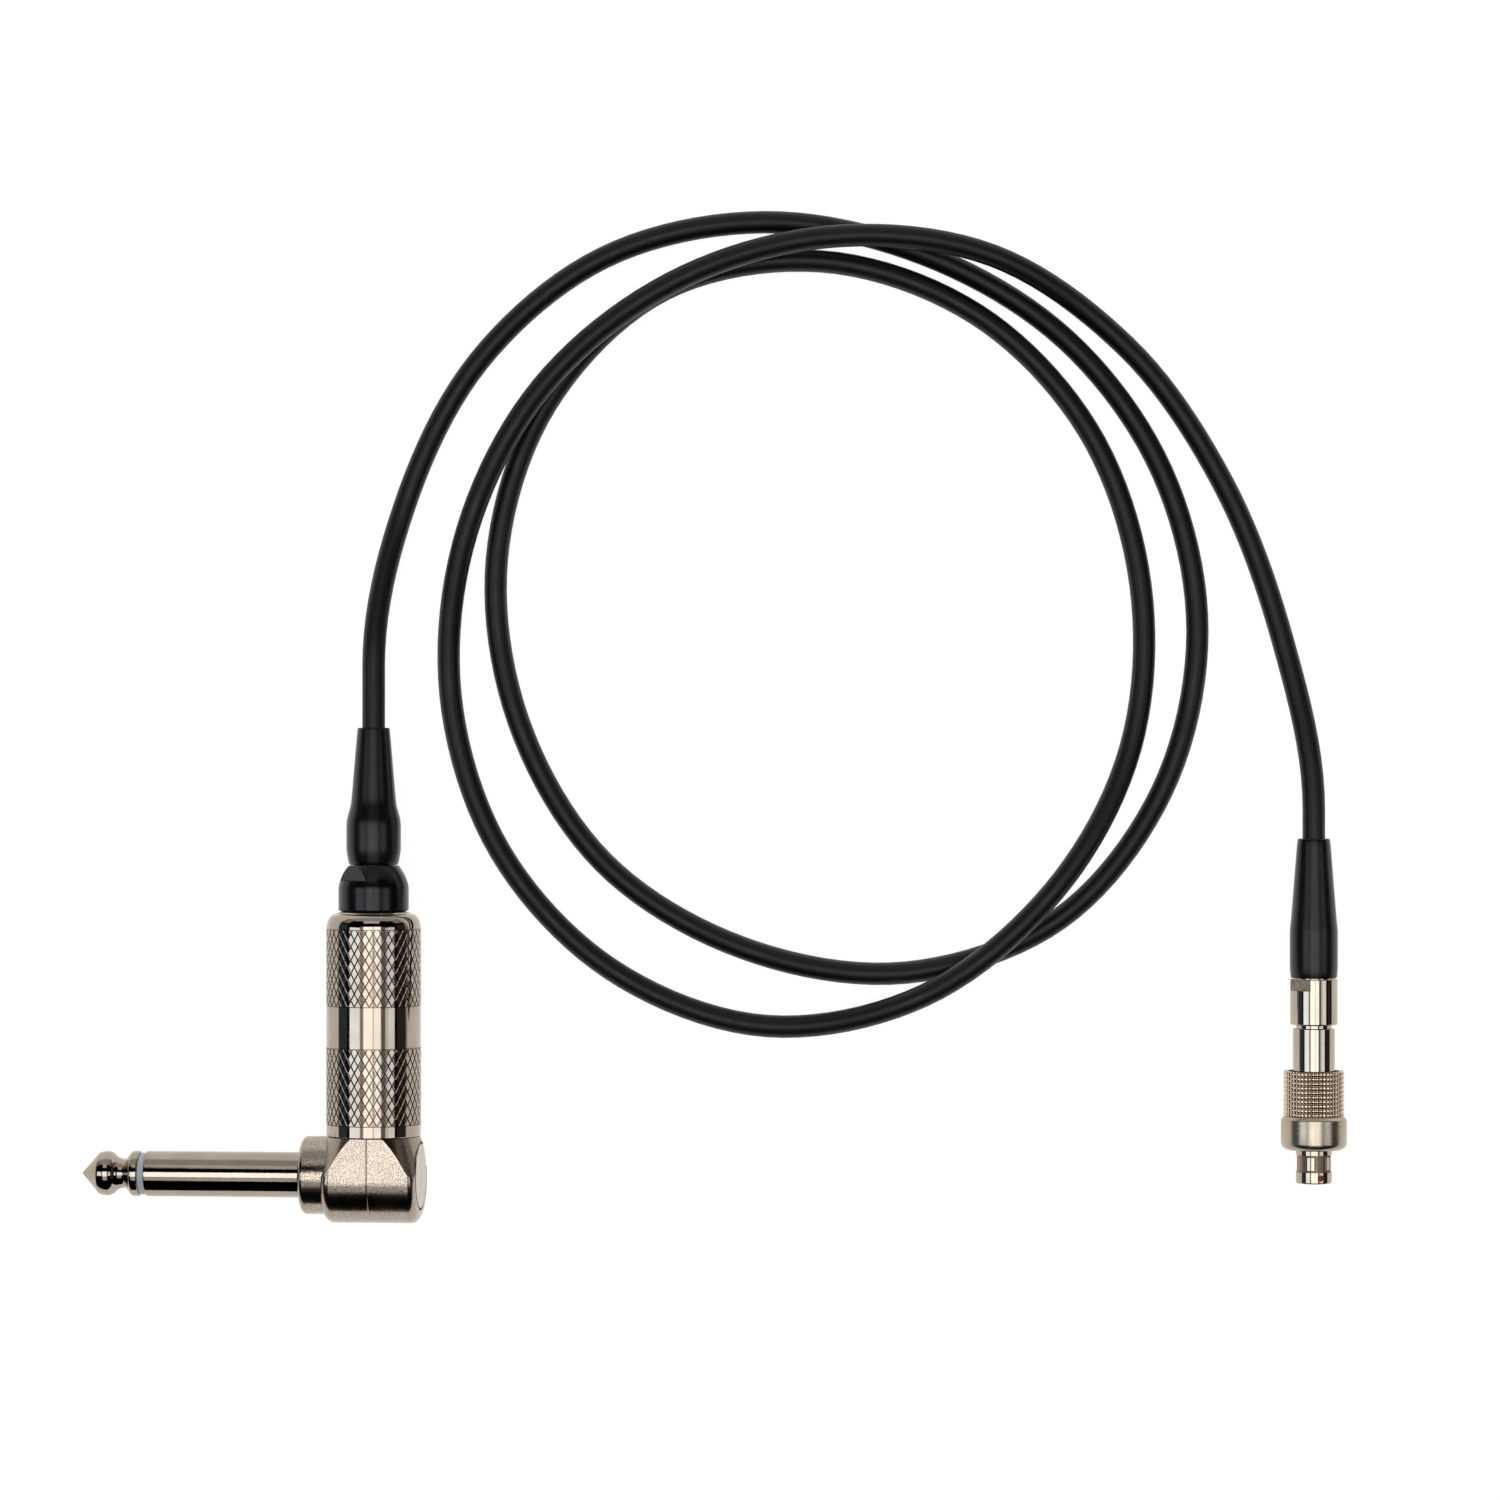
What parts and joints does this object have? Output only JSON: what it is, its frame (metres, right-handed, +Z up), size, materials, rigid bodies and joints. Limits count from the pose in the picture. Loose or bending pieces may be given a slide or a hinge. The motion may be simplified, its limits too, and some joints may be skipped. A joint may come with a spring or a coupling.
{
  "type": "instrument cable",
  "caption": "Thin instrument cable with a right-angle quarter-inch jack plug at one end and a small screw-locking multi-pin connector at the other.",
  "frame": {"origin": "on the surface the cable lies on, under the middle of the box round the two plugs, the free cable left out", "axes": "+X from the jack plug to the small connector; -X is the way the jack's shank points; -Y is the way the small connector points; +Z up"},
  "size_m": [0.1771, 0.1417, 0.0132],
  "materials": {
    "turned_nickel": "turned, nickel plated, warm grey",
    "cast_nickel": "zinc casting, satin nickel plated",
    "polished_nickel": "polished nickel plated",
    "satin_nickel": "satin nickel plated",
    "boot_rubber": "satin black moulded rubber",
    "cable_jacket": "matt black extruded jacket",
    "black_plastic": "black moulded plastic",
    "pale_plastic": "pale blue-grey plastic",
    "cream_plastic": "cream insulating plastic",
    "wire_insulation": "thin wire insulation",
    "copper_strand": "twisted bare copper",
    "brass": "bare or gold-plated brass",
    "red_enamel": "red enamel dot"
  },
  "bodies": {
    "cable_and_plugs": {"tip_contact": "turned_nickel", "tip_insulator": "pale_plastic", "shank_sleeve": "turned_nickel", "elbow_housing": "cast_nickel", "end_cap": "cast_nickel", "rod_bush": "black_plastic", "tip_lug": "brass", "ground_lug": "brass", "lug_liner": "black_plastic", "plug_lead": "cable_jacket", "plug_core": "wire_insulation", "plug_screen": "copper_strand", "cable": "cable_jacket", "front_tube": "polished_nickel", "latch_sleeve": "polished_nickel", "alignment_mark": "red_enamel", "pin_insert": "cream_plastic", "contact_pins": "brass", "rear_shell": "polished_nickel", "connector_lead": "cable_jacket", "connector_cores": "wire_insulation"},
    "boot_and_chuck": {"plug_boot": "boot_rubber", "clamp_chuck": "pale_plastic"},
    "barrel_and_gland": {"barrel": "turned_nickel", "gland_nut": "black_plastic"},
    "tail_boot_and_collet": {"connector_boot": "boot_rubber", "collet": "brass"},
    "collet_nut_body": {"collet_nut": "polished_nickel"},
    "slip_ring_body": {"slip_ring": "brass"},
    "coupling_nut_body": {"coupling_nut": "satin_nickel"}
  },
  "joints": [
    {"name": "barrel_slide", "type": "slide", "parent": "cable_and_plugs", "child": "boot_and_chuck", "axis": [0, 1, 0], "range_m": [0, 0.006]},
    {"name": "barrel_turn", "type": "hinge", "parent": "boot_and_chuck", "child": "barrel_and_gland", "pos_m": [-0.0474, -0.0069, 0.0066], "axis": [0, 1, 0], "range_deg": [0, 2880]},
    {"name": "collet_slide", "type": "slide", "parent": "cable_and_plugs", "child": "tail_boot_and_collet", "axis": [0, 1, 0], "range_m": [0, 0.002]},
    {"name": "collet_turn", "type": "hinge", "parent": "tail_boot_and_collet", "child": "collet_nut_body", "pos_m": [0.084, -0.0039, 0.0046], "axis": [0, 1, 0], "range_deg": [0, 1440]},
    {"name": "nut_play", "type": "slide", "parent": "cable_and_plugs", "child": "slip_ring_body", "axis": [0, 1, 0], "range_m": [0, 0.0005]},
    {"name": "coupling_turn", "type": "hinge", "parent": "slip_ring_body", "child": "coupling_nut_body", "pos_m": [0.084, -0.0199, 0.0046], "axis": [0, 1, 0], "continuous": true}
  ],
  "couplings": [
    {"joint": "barrel_turn", "follows": "barrel_slide", "rad_per_m": 8377.6},
    {"joint": "collet_turn", "follows": "collet_slide", "rad_per_m": 12566}
  ]
}
